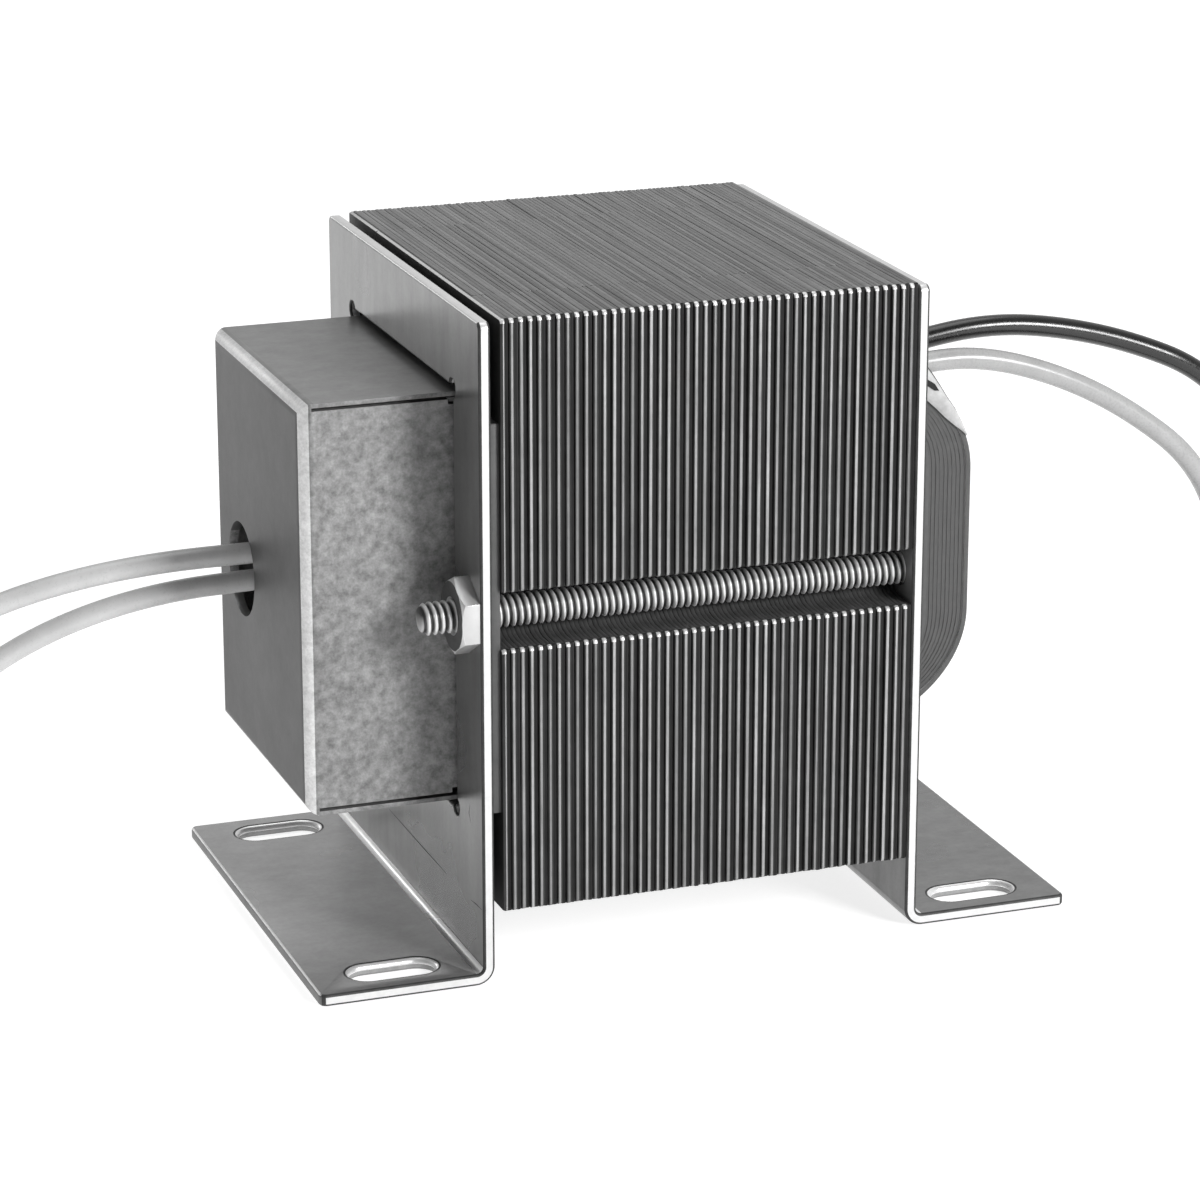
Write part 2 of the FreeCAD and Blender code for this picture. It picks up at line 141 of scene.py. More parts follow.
def steel(name, dark, light, rough, metallic, grain, spots=900, plate_tone_and_root_shade=False, bumpy=0.25,
          speck=0.45, cloud=0.6):
    """Sheet or sheared steel: long grain, fine speckle and broad tone changes."""
    m, t, p = group(name)
    g = noise(t, grain, 1.0, 5.0, 0.6)
    s = noise(t, (spots,) * 3, 1.0, 3.0, 0.6)
    broad = noise(t, (45, 45, 45), 1.0, 3.0, 0.5)
    c = ramp(t, g, [(0.28, dark), (0.72, light)])
    c = mixed(t, "MULTIPLY", speck, c, ramp(t, s, [(0.35, 0.72), (0.6, 1.0)]))
    c = mixed(t, "MULTIPLY", cloud, c, ramp(t, broad, [(0.3, 0.78), (0.65, 1.0)]))
    # The plate attribute: a random tone per lamination, and on the screw the thread roots darkened as
    # painted shade.
    if plate_tone_and_root_shade:
        low = 0.70 if plate_tone_and_root_shade is True else plate_tone_and_root_shade
        c = mixed(t, "MULTIPLY", 1.0, c, ramp(t, attr(t, "plate"), [(0.0, low), (1.0, 1.0)]))
    t.links.new(c, p.inputs["Base Color"])
    r = ramp(t, broad, [(0.3, max(0.05, rough - 0.03)), (0.7, min(1, rough + 0.04))])
    t.links.new(r, p.inputs["Roughness"])
    p.inputs["Metallic"].default_value = metallic
    bump(t, p, g, bumpy, 0.00003)
    return m


def mottled(name, dark, light, metallic, rough=0.42):
    """Galvanised sheet, weathered dull: blotches about a millimetre across,
    finer pits between them, and a slow change of tone."""
    m, t, p = group(name)
    blot = noise(t, (820, 820, 820), 1.0, 6.0, 0.68)
    fine = noise(t, (2700, 2700, 2700), 1.0, 3.0, 0.6)
    slow = noise(t, (70, 70, 70), 1.0, 3.0, 0.5)
    c = ramp(t, blot, [(0.30, dark), (0.68, light)])
    c = mixed(t, "MULTIPLY", 0.45, c, ramp(t, fine, [(0.3, 0.62), (0.62, 1.0)]))
    c = mixed(t, "MULTIPLY", 0.8, c, ramp(t, slow, [(0.3, 0.80), (0.7, 1.0)]))
    t.links.new(c, p.inputs["Base Color"])
    t.links.new(ramp(t, blot, [(0.3, rough), (0.7, rough + 0.16)]), p.inputs["Roughness"])
    p.inputs["Metallic"].default_value = metallic
    bump(t, p, blot, 0.30, 0.00005)
    return m


def plastic(name, dark, light, rough, coat=0.3):
    """Extruded insulation: slight waviness and dust along the wire."""
    m, t, p = group(name)
    b = noise(t, (260, 260, 260), 1.0, 4.0, 0.6)
    f = noise(t, (3200, 3200, 3200), 1.0, 2.0, 0.5)
    c = ramp(t, b, [(0.3, dark), (0.7, light)])
    t.links.new(c, p.inputs["Base Color"])
    t.links.new(ramp(t, f, [(0.3, rough - 0.05), (0.7, rough + 0.08)]), p.inputs["Roughness"])
    p.inputs["Coat Weight"].default_value = coat
    p.inputs["Coat Roughness"].default_value = 0.25
    bump(t, p, b, 0.10, 0.00006)
    return m


def paper(name, dark, light, rough, grain):
    m, t, p = group(name)
    g = noise(t, grain, 1.0, 5.0, 0.6)
    f = noise(t, (1500, 1500, 1500), 1.0, 3.0, 0.6)
    c = ramp(t, g, [(0.3, dark), (0.7, light)])
    c = mixed(t, "MULTIPLY", 0.35, c, ramp(t, f, [(0.3, 0.7), (0.65, 1.0)]))
    t.links.new(c, p.inputs["Base Color"])
    t.links.new(ramp(t, f, [(0.3, rough - 0.1), (0.7, rough + 0.1)]), p.inputs["Roughness"])
    bump(t, p, g, 0.4, 0.00006)
    return m


M_EDGE = steel("sheared_edge_bright", 0.29, 0.56, 0.38, 0.35, (1500, 700, 90), plate_tone_and_root_shade=0.50)
# Worn sheared corners, lightened beyond the edge steel as a painted highlight.
M_LIP_HIGHLIGHT = steel("sheared_corner_worn_and_highlight", 0.66, 0.80, 0.34, 0.40, (900, 900, 900), speck=0.1, cloud=0.2,
              bumpy=0.05)
M_TOP = steel("sheared_edge_grey", 0.20, 0.33, 0.38, 0.55, (1600, 60, 700), plate_tone_and_root_shade=0.60)
# The I plates' outer edges are the same sheared steel; this near-black is painted shade for their
# slight recess behind the E plates.
M_EDGE_SHADE = steel("sheared_edge_painted_shade", 0.010, 0.022, 0.60, 0.1, (900, 500, 120))
M_EDGE_SHADE.node_tree.nodes["Principled BSDF"].inputs["Specular IOR Level"].default_value = 0.2
# The bolt notch's punched edges, darker than the other sheared edges: painted shade in the recess.
M_NOTCH_SHADE = steel("punched_notch_painted_shade", 0.080, 0.110, 0.50, 0.3, (1200, 300, 300))
# Oxide on the plates' faces; on the chamfers beside each outer-face edge the same near-black paints
# the shade between plates.
M_FACE = steel("oxide_face_and_gap_shade", 0.020, 0.045, 0.5, 0.3, (300, 300, 300))
M_ZINC = steel("zinc_plate", 0.23, 0.30, 0.28, 0.75, (260, 420, 90), 1500, bumpy=0.04, speck=0.25)
# Worn zinc edges, lightened to near white as a painted highlight on the brackets' cut edges and the
# nuts' chamfers.
M_RIM_HIGHLIGHT = steel("zinc_worn_edge_and_highlight", 0.72, 0.80, 0.34, 0.45, (700, 300, 700), 1500, bumpy=0.05,
              speck=0.15, cloud=0.3)
# The feet's cut ends: the same cut sheet as the bright front edges, darkened as painted shade.
M_ZEND_SHADE = steel("zinc_cut_end_painted_shade", 0.17, 0.24, 0.45, 0.5, (500, 300, 900), 1500, speck=0.3)
# Near-black lines along the brackets' corner bevels and the slots' outer rims: painted shade.
M_ZLINE_SHADE = steel("zinc_corner_painted_shade", 0.035, 0.07, 0.55, 0.3, (900, 900, 900), 1500, speck=0.2)
M_ZWALL = steel("zinc_slot_wall", 0.30, 0.40, 0.45, 0.4, (900, 900, 300), 1500, speck=0.2)
# The brackets' faces against the core: the same zinc, darkened as painted shade.
M_ZIN = steel("zinc_inner_face_painted_shade", 0.17, 0.24, 0.40, 0.5, (260, 420, 90), 1500, bumpy=0.04, speck=0.25)
# The left foot's top: a lighter copy of the zinc, as painted light.
M_FOOT_LIT = steel("zinc_foot_top_painted_light", 0.40, 0.49, 0.25, 0.55, (260, 420, 260), 1500, bumpy=0.04, speck=0.25)
# The inner fold and the slot rims: near-white zinc as a painted highlight.
M_BEND_HIGHLIGHT = steel("zinc_fold_painted_highlight", 0.95, 1.0, 0.30, 0.60, (300, 300, 300), bumpy=0.02, speck=0.05, cloud=0.1)
# A darker copy of the wrap paper for the folded strip: painted shade.
M_FOLD = paper("coil_wrap_fold", 0.40, 0.66, 0.45, (500, 200, 500))
# A near-black sheet standing in the fold's slit: painted shade.
M_GAP_SHADE = steel("fold_gap_painted_shade", 0.012, 0.02, 0.8, 0.0, (900, 900, 900))
# Bright zinc screw; the crest value in the plate attribute darkens the thread roots as painted shade.
M_SCREW = steel("zinc_screw", 0.84, 0.94, 0.36, 0.45, (500, 500, 500), 1800, bumpy=0.02,
                speck=0.1, cloud=0.2, plate_tone_and_root_shade=0.05)
M_NUT = steel("zinc_nut", 0.56, 0.64, 0.30, 0.60, (300, 300, 300), 1500, bumpy=0.02, speck=0.06,
              cloud=0.2)
# The nuts' end faces: the same zinc, darkened as painted shade.
M_NUT_END_SHADE = steel("zinc_nut_end_painted_shade", 0.09, 0.13, 0.40, 0.5, (300, 300, 300), 1500, bumpy=0.02,
                  speck=0.1, cloud=0.2)
M_COVER = mottled("galvanised_front", 0.145, 0.40, 0.22)
# The cover's end face, underside and flanges: the same galvanised sheet, darkened as painted shade.
M_COVER_SIDE_SHADE = steel("galvanised_end_painted_shade", 0.085, 0.115, 0.50, 0.25, (300, 260, 260), 1300, bumpy=0.1,
                     speck=0.3)
M_COVER_TOP = steel("galvanised_top", 0.22, 0.29, 0.34, 0.55, (260, 420, 300), 1300, bumpy=0.1,
                    speck=0.3)
# Worn rounded edges of the cover's left end, lightened to near white as a painted highlight.
M_COVER_EDGE_HIGHLIGHT = mottled("galvanised_worn_edge_and_highlight", 0.70, 0.98, 0.35, 0.32)
M_WRAP = paper("coil_wrap_paper", 0.50, 0.72, 0.42, (90, 60, 500))
M_WIND = paper("winding_end_varnished", 0.066, 0.084, 0.42, (800, 200, 800))
# Paper edges between the wound layers; also used on the fold's crease as painted shade.
M_LAYER = paper("layer_paper_edge_and_crease_shade", 0.074, 0.094, 0.5, (900, 900, 900))
M_TUBE = paper("kraft_tube", 0.20, 0.30, 0.6, (300, 300, 300))
M_GREY = plastic("grey_insulation", 0.52, 0.60, 0.30)
M_BLACK = plastic("black_insulation", 0.004, 0.008, 0.25, 0.40)
M_WHITE = plastic("white_insulation", 0.36, 0.43, 0.28)
M_TIN = steel("tinned_strands", 0.55, 0.75, 0.3, 0.9, (900, 900, 900), 2500)
M_MARK = steel("dark_line", 0.03, 0.06, 0.5, 0.4, (900, 900, 900), 2500)


# ------------------------------------------------------------------- helpers
def link(name, mesh, mats, replaced=(), smooth_angle=32):
    for m in mats:
        mesh.materials.append(m)
    o = bpy.data.objects.new(name, mesh)
    scene.collection.objects.link(o)
    mesh.polygons.foreach_set("use_smooth", [True] * len(mesh.polygons))
    mesh.set_sharp_from_angle(angle=math.radians(smooth_angle))
    if replaced:
        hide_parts(*replaced)
    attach(o, "root")
    return o


def make(name, verts, faces, mats, replaced=(), which=None, smooth_angle=32,
         point_attr=None, recalc=True):
    """verts in mm."""
    mesh = bpy.data.meshes.new(name)
    mesh.from_pydata([tuple(float(c) * MM for c in v) for v in verts], [], faces)
    if which is not None:
        mesh.polygons.foreach_set("material_index", which)
    if recalc:
        bm = bmesh.new()
        bm.from_mesh(mesh)
        bmesh.ops.recalc_face_normals(bm, faces=bm.faces)
        bm.to_mesh(mesh)
        bm.free()
    if point_attr is not None:
        a = mesh.attributes.new("plate", "FLOAT", "POINT")
        a.data.foreach_set("value", point_attr)
    return link(name, mesh, mats, replaced, smooth_angle)


def refined(node, mats, width, keep=None, which=None, angle=25, segments=2,
            name=None, replaced=None, joined=None, wide=None, clamp=True, flat_over=None):
    """The node's own surface with its sharp edges broken by width mm. wide is
    a test on an edge's middle, and the larger width used where it holds. Faces
    of more than flat_over mm2 are shaded flat."""
    bm = bmesh.new()
    bm.from_mesh(nodes[node].data)
    bmesh.ops.remove_doubles(bm, verts=bm.verts, dist=2e-6)
    if keep is not None:
        gone = [f for f in bm.faces if not keep(f.calc_center_median() / MM)]
        bmesh.ops.delete(bm, geom=gone, context="FACES")
    bmesh.ops.dissolve_limit(bm, angle_limit=math.radians(0.4), use_dissolve_boundaries=False,
                             verts=bm.verts, edges=bm.edges)
    sharp = [e for e in bm.edges if len(e.link_faces) == 2
             and e.calc_face_angle(0.0) > math.radians(angle)]
    if wide is not None:
        rims = [e for e in sharp if wide[0]((e.verts[0].co + e.verts[1].co) / 2 / MM)]
        sharp = [e for e in sharp if e not in set(rims)]
        out = bmesh.ops.bevel(bm, geom=rims, offset=wide[1] * MM, offset_type="OFFSET", segments=4,
                              profile=0.5, affect="EDGES", clamp_overlap=clamp)
        new = set(out["faces"])
        sharp = [e for e in bm.edges if len(e.link_faces) == 2 and e.is_valid
                 and not (new & set(e.link_faces))
                 and e.calc_face_angle(0.0) > math.radians(angle)]
    if width:
        bmesh.ops.bevel(bm, geom=sharp, offset=width * MM, offset_type="OFFSET", segments=segments,
                        profile=0.5, affect="EDGES", clamp_overlap=clamp)
    if joined is not None:
        vs = [bm.verts.new(tuple(float(c) * MM for c in v)) for v in joined[0]]
        for f in joined[1]:
            bm.faces.new([vs[i] for i in f])
    mesh = bpy.data.meshes.new(name or node + "_skin")
    bm.normal_update()
    if which is not None:
        for f in bm.faces:
            f.material_index = which(f.calc_center_median() / MM, f.normal)
    for f in bm.faces:
        if which is None:
            f.material_index = 0
    bm.to_mesh(mesh)
    bm.free()
    o = link(name or node + "_skin", mesh, mats, replaced or (node,))
    if flat_over is not None:
        for f in mesh.polygons:
            if f.area > flat_over * 1e-6:
                f.use_smooth = False
    return o


# --------------------------------------------------------------------- cords
def ring_points(p_end, p_before, sense, r1, r2, travel, step=25.0):
    """Route points round the put-away turn: half a circle of r1, then r2."""
    u = (p_end - p_before).normalized()
    n = Vector((-u.y, u.x, 0)) * sense
    k = (math.cos(math.radians(step / 2)) + 0.75 + 0.25 * math.cos(math.radians(step))) / 2
    c1 = p_end + n * r1
    out = []
    a = step / 2
    while a < 180:
        b = math.radians(a)
        out.append(c1 + (n * -math.cos(b) + u * math.sin(b)) * (r1 / k))
        a += step
    c2 = c1 + n * (r1 - r2)
    a -= 180
    while a < travel - 180:
        b = math.radians(a)
        out.append(c2 + (n * math.cos(b) + u * -math.sin(b)) * (r2 / k))
        a += step
    b = math.radians(travel - 180)
    end = c2 + (n * math.cos(b) + u * -math.sin(b)) * r2
    tangent = (n * -math.sin(b) + u * -math.cos(b)).normalized()
    out.append(end)
    return out, end, tangent


def strands(name, at, along, node):
    """Seven tinned strands with a slight lay, fanned a little at the end."""
    side = along.cross(Vector((0, 0, 1))).normalized()
    up = side.cross(along).normalized()
    verts, faces = [], []
    for k in range(7):
        off = 0.0 if k == 0 else 0.38
        base = math.radians(60 * k)
        length = TIP_L - rng.uniform(0.0, 0.35)
        for i in range(11):
            s = i / 10
            tw = base + 1.9 * s
            r = off * (1 + 0.10 * s * s)
            c = at + along * (length * s) + side * (r * math.cos(tw)) + up * (r * math.sin(tw))
            for j in range(7):
                w = 2 * math.pi * j / 7
                verts.append(c + side * (0.20 * math.cos(w)) + up * (0.20 * math.sin(w)))
        b0 = k * 77
        for i in range(10):
            for j in range(7):
                faces.append((b0 + i * 7 + j, b0 + i * 7 + (j + 1) % 7,
                              b0 + (i + 1) * 7 + (j + 1) % 7, b0 + (i + 1) * 7 + j))
        faces.append(tuple(b0 + j for j in range(7)))
        faces.append(tuple(b0 + 70 + j for j in range(6, -1, -1)))
    return make(name, verts, faces, [M_TIN], (node,))


LEADS = [
    ("secondary_lead_upper",
     [(WRAP_LEFT, 5.0, 48.1), (-48.8, 5.0, 48.1), (-60.4, 5.2, 48.0), (-71.6, 5.8, 46.7),
      (-82.5, 7.0, 43.8), (-94.8, 3.5, 39.8), (-105.0, -1.5, 32.0), (-111.5, -2.3, 19.9),
      (-114.7, 4.9, 8.6), (-115.2, 18.0, Z2), (-115.5, 26.0, Z2)],
     -1, 15.8, 13.0, 330, M_GREY, "grey_insulation", 0.2092),
    ("secondary_lead_lower",
     [(WRAP_LEFT, 5.0, 44.5), (-48.5, 5.0, 44.5), (-60.5, 5.1, 44.0), (-71.7, 6.1, 41.3),
      (-81.5, 8.0, 36.4), (-91.4, 5.0, 30.6), (-99.8, -1.6, 22.9), (-106.7, -3.2, 11.9),
      (-111.8, 4.0, 3.4), (-114.3, 16.6, Z1), (-115.2, 24.8, Z1)],
     -1, 15.8, 13.0, 330, M_GREY, "grey_insulation", 0.2044),
    ("primary_lead_black",
     [(29.6, -10.6, 70.95), (38.8, -10.9, 73.1), (48.2, -11.3, 74.0), (57.5, -11.6, 72.8),
      (67.1, -12.0, 70.2), (77.0, -13.2, 66.0), (85.6, -12.2, 57.4), (90.0, -9.8, 46.2),
      (91.1, -7.4, 33.8), (89.8, -7.2, 21.0), (87.5, -12.2, 9.6), (86.3, -23.6, Z2),
      (86.4, -31.8, Z2)],
     1, 15.4, 12.6, 305, M_BLACK, "black_insulation", 0.2151),
    ("primary_lead_white",
     [(29.6, -14.6, 69.65), (36.9, -14.9, 71.0), (45.7, -15.2, 70.6), (55.8, -15.6, 67.3),
      (65.4, -16.0, 62.1), (74.6, -17.2, 54.8), (80.9, -14.3, 43.8), (83.6, -9.9, 33.0),
      (84.4, -7.8, 20.6), (83.0, -11.6, 8.2), (82.2, -23.2, Z1), (82.8, -32.6, Z1)],
     1, 15.4, 12.6, 305, M_WHITE, "white_insulation", 0.2055),
]
for name, pts, sense, r1, r2, travel, mat, slot_name, length in LEADS:
    pts = [Vector(p) for p in pts]
    extra, end, tangent = ring_points(pts[-1], pts[-2], sense, r1, r2, travel)
    route = pts + extra
    cu = bpy.data.curves.new(name + "_cord", "CURVE")
    cu.dimensions = "3D"
    sp = cu.splines.new("NURBS")
    sp.points.add(len(route) - 1)
    for p, q in zip(sp.points, route):
        p.co = (q.x * MM, q.y * MM, q.z * MM, 1.0)
    sp.order_u = 3
    sp.use_endpoint_u = True
    sp.resolution_u = 8
    cu.bevel_depth = LEAD_D / 2 * MM
    cu.bevel_resolution = 5
    cu.use_fill_caps = True
    cu.materials.append(mat)
    o = bpy.data.objects.new(name + "_cord", cu)
    scene.collection.objects.link(o)
    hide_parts(name, name + "_coil")
    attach(o, "root")
    tip = strands(name + "_strands", end, tangent, name + "_tip")


# --------------------------------------------------------------- laminations
def notch_points(s):
    """The bolt notch, from its lower lip to its upper lip."""
    face, r = s * CORE_D / 2, 3.6
    deep = s * (CORE_D / 2 - 7.2 + r)
    pts = [(face, ZC - r), (deep, ZC - r)]
    for i in range(1, 8):
        a = math.radians(-90 + 180 * i / 8)
        pts.append((deep - s * r * math.cos(a), ZC + r * math.sin(a)))
    return pts + [(deep, ZC + r), (face, ZC + r)]


def outline(kind, s):
    """Points in YZ and, for each edge that starts there, a material index:
    0 outer face (near black on the I plates, as painted shade), 1 other sheared edges, 2 notch,
    darkened as painted shade, 4 corners, lightened as a painted highlight. The spine's upper corners
    are worn round, so they catch the light; their lighter material adds a painted highlight."""
    zb, zt = CORE_Z, ZT
    nt = notch_points(s)
    c = 0.50 if kind == "e" else 0.25
    face = s * (CORE_D / 2 - (0 if kind == "e" else 0.30))
    f1, f2 = face - s * c * 0.3, face - s * c
    low, high = nt[0][1], nt[-1][1]
    pts = [(f2, zb), (f1, zb + c * 0.3), (face, zb + c), (face, low - c), (f1, low - c * 0.3),
           (f2, low)] + nt[1:-1] + [(f2, high), (f1, high + c * 0.3), (face, high + c),
                                    (face, zt - c), (f1, zt - c * 0.3), (f2, zt)]
    k = 4 if kind == "e" else 0
    mats = [0, 0, 0, k, k] + [2] * (len(nt) - 1) + [0, 0, 0, k, k]
    if kind == "e":
        inner, end = s * YW, -s * YW
        rest = [(end, zt), (end, zt - LEG), (inner, zt - LEG), (inner, zt - 2 * LEG),
                (end, zt - 2 * LEG), (end, zb + 2 * LEG), (inner, zb + 2 * LEG),
                (inner, zb + LEG), (end, zb + LEG), (end, zb)]
    else:
        inner = s * YW
        rest = [(inner, zt), (inner, zb)]
    pts += rest
    mats += [1] * (len(pts) - len(mats))
    return pts, mats


def inset(pts, d):
    """Polygon moved inwards by d."""
    p = np.array(pts)
    area = 0.5 * np.sum(p[:, 0] * np.roll(p[:, 1], -1) - np.roll(p[:, 0], -1) * p[:, 1])
    e = np.roll(p, -1, 0) - p
    n = np.c_[-e[:, 1], e[:, 0]] * np.sign(area)
    n /= np.linalg.norm(n, axis=1)[:, None]
    m = np.roll(n, 1, 0)
    return p + d * (n + m) / (1 + np.sum(n * m, 1))[:, None]


def plates(name, kind, s, parity, mats):
    pts, em = outline(kind, s)
    p0 = np.array(pts)
    p1, worn = inset(pts, 0.06), inset(pts, 0.15)
    n = len(pts)
    verts, faces, which, rnd = [], [], [], []
    for k in range(parity, LAYERS, 2):
        x = XL + k * LAM
        g0, g1 = rng.uniform(0.006, 0.034, 2)
        dy = rng.normal(0, 0.035) if kind == "e" else rng.normal(0, 0.05)
        dz = rng.normal(0, 0.018)
        lean = rng.normal(0, 0.03)
        b = len(verts)
        tone = float(rng.uniform(0, 1))
        w0, w1 = rng.uniform(0.09, 0.16, 2)
        if k == 0:                          # the outermost plate, worn round along its top, with a painted highlight there
            w0 = 0.30
        for xx, ring in ((x + g0, worn if k == 0 else p1), (x + g0 + w0, p0), (x + LAM - g1 - w1, p0),
                         (x + LAM - g1, p1)):
            for y, z in ring:
                verts.append((xx, y + dy + lean * (z - ZC) / 38, z + dz))
                rnd.append(tone)
        for j in range(3):
            for i in range(n):
                q = (i + 1) % n
                faces.append((b + j * n + i, b + j * n + q, b + (j + 1) * n + q, b + (j + 1) * n + i))
                # The outermost plate's top takes the corner material as a painted highlight; the
                # chamfers beside the outer-face edges take the face material as painted shade between
                # plates.
                on_top = k == 0 and j == 0 and min(pts[i][1], pts[q][1]) > ZT - 0.01
                which.append(4 if on_top else 3 if j != 1 and em[i] == 0 else em[i])
        faces.append(tuple(b + i for i in range(n)))
        faces.append(tuple(b + 3 * n + i for i in range(n - 1, -1, -1)))
        which += [3, 3]
    return make(name + "_plates", verts, faces, mats, (name,), which, 40, rnd)


plates("e_laminations_front", "e", -1, 0, [M_EDGE, M_TOP, M_NOTCH_SHADE, M_FACE, M_LIP_HIGHLIGHT])
plates("i_laminations_rear", "i", 1, 0, [M_EDGE_SHADE, M_TOP, M_NOTCH_SHADE, M_FACE, M_LIP_HIGHLIGHT])
plates("e_laminations_rear", "e", 1, 1, [M_EDGE, M_TOP, M_NOTCH_SHADE, M_FACE, M_LIP_HIGHLIGHT])
plates("i_laminations_front", "i", -1, 1, [M_EDGE_SHADE, M_TOP, M_NOTCH_SHADE, M_FACE])


# ------------------------------------------------------------------ the coil
def loop_points(hx, hz, a, b, n=14):
    k = 0.5523
    quads = [((hx, hz - b), (hx, hz - b + k * b), (hx - a + k * a, hz), (hx - a, hz)),
             ((-hx + a, hz), (-hx + a - k * a, hz), (-hx, hz - b + k * b), (-hx, hz - b)),
             ((-hx, -hz + b), (-hx, -hz + b - k * b), (-hx + a - k * a, -hz), (-hx + a, -hz)),
             ((hx - a, -hz), (hx - a + k * a, -hz), (hx, -hz + b - k * b), (hx, -hz + b))]
    out = []
    for q in quads:
        for i in range(n + 1):
            t = i / n
            w = ((1 - t) ** 3, 3 * t * (1 - t) ** 2, 3 * t * t * (1 - t), t ** 3)
            out.append((XM + sum(c * p[0] for c, p in zip(w, q)),
                        ZC + sum(c * p[1] for c, p in zip(w, q))))
    return np.array(out)


def layered(name, inner, outer, half, count, mats, replaced):
    """Wound layers between two profiles; each wire layer ends a little short of
    the paper that separates it from the next."""
    pin, pout = np.array(inner, float), np.array(outer, float)
    verts, faces, which = [], [], []

    def ring(t0, t1, h0, h1, mat):
        lin = loop_points(*(pin + (pout - pin) * t0))
        lout = loop_points(*(pin + (pout - pin) * t1))
        n = len(lin)
        b = len(verts)
        wob = rng.normal(0, 0.012, n)
        for lp, y in ((lin, -h0), (lout, -h0), (lout, h1), (lin, h1)):
            for i, (x, z) in enumerate(lp):
                verts.append((x, y + wob[i] * (1 if y > 0 else -1), z))
        for j in range(4):
            for i in range(n):
                q = (i + 1) % n
                faces.append((b + j * n + i, b + j * n + q,
                              b + ((j + 1) % 4) * n + q, b + ((j + 1) % 4) * n + i))
                which.append(mat)

    for k in range(count):
        t0, t1 = k / count, (k + 1) / count
        cut = t0 + (t1 - t0) * 0.74
        ring(t0, cut, half - rng.uniform(0.03, 0.09), half - rng.uniform(0.03, 0.09), 0)
        ring(cut, t1, half + rng.uniform(-0.03, 0.02), half + rng.uniform(-0.03, 0.02), 1)
    return make(name, verts, faces, mats, replaced, which, 35)


layered("secondary_winding_layers", (35.27, 19.47, 8.0, 9.7), (40.46, 24.38, 18.8, 15.0), 18.35, 9,
        [M_WIND, M_LAYER], ("secondary_winding",))
layered("primary_winding_layers", (28.64, 13.97, 1.5, 1.5), (34.68, 18.93, 7.5, 9.0), 18.25, 10,
        [M_WIND, M_LAYER], ("primary_winding",))
refined("coil_wrap", [M_WRAP, M_LAYER], 0.12,
        which=lambda c, n: 1 if abs(n.y) > 0.7 else 0)


def wrap_height(x):
    """Top of the coil over x, right of the stack."""
    d = (x - XM - 21.7) / 19.4
    return ZC + 9.5 + 15.6 * math.sqrt(max(0.0, 1 - d * d))


def paper_fold():
    """The wrap's loose end over the right shoulder: a strip of the same paper
    folded down over the coil's front end, its crease standing a little proud."""
    low = [(29.7, 70.2), (32.0, 69.1), (34.3, 67.5), (35.1, 66.8), (36.5, 65.5), (37.9, 64.1),
           (39.3, 62.9), (40.2, 62.2), (40.9, 61.5)]
    high = [(29.7, 74.2), (32.2, 73.6), (34.6, 72.0), (35.9, 70.3), (37.1, 68.5), (38.1, 66.9),
            (39.3, 65.2), (40.2, 63.5), (40.9, 61.9)]
    n = len(low)
    rows = []
    for t, y in ((0.0, -18.66), (0.35, -18.80), (0.7, -18.82), (0.93, -18.72), (1.0, -18.5)):
        rows.append([((1 - t) * a[0] + t * b[0], y + rng.normal(0, 0.02),
                      (1 - t) * a[1] + t * b[1]) for a, b in zip(low, high)])
    for t, y in ((0.35, -18.0), (0.75, -17.3), (1.0, -16.75)):
        rows.append([(b[0], y, (1 - t) * b[1] + t * min(b[1], wrap_height(b[0]) + 0.12))
                     for b in high])
    top = [v for row in rows for v in row]
    under = [(x - 0.02, y + 0.10, z - 0.11) for x, y, z in top]
    verts = top + under
    m, k = len(rows), len(top)
    faces, which = [], []
    for i in range(m - 1):
        for j in range(n - 1):
            q = (i * n + j, i * n + j + 1, (i + 1) * n + j + 1, (i + 1) * n + j)
            faces.append(q)
            faces.append(tuple(k + v for v in reversed(q)))
            # Row 3, the crease, takes the dark paper-edge material as a painted shade line.
            which += [1 if i == 3 else 0, 0]
    rim = ([i for i in range(n)] + [i * n + n - 1 for i in range(1, m)]
           + [(m - 1) * n + j for j in range(n - 2, -1, -1)] + [i * n for i in range(m - 2, 0, -1)])
    for a, b in zip(rim, rim[1:] + rim[:1]):
        faces.append((b, a, k + a, k + b))
        which.append(1)
    make("coil_wrap_fold", verts, faces, [M_FOLD, M_LAYER], which=which,
         smooth_angle=50)
    # A flat near-black sheet just in front of the fold: painted shade in the slit.
    slit = [(34.4, 69.9), (35.45, 69.3), (36.2, 68.8), (36.8, 67.85), (36.2, 67.9), (35.3, 68.5),
            (34.4, 69.0)]
    make("coil_wrap_fold_gap", [(x, -18.87, z) for x, z in slit], [tuple(range(len(slit)))],
         [M_GAP_SHADE], recalc=False)


paper_fold()
refined("winding_tube", [M_TUBE], 0.12)
refined("interwinding_insulation", [M_TUBE, M_LAYER], 0.08,
        which=lambda c, n: 1 if abs(n.y) > 0.7 else 0)


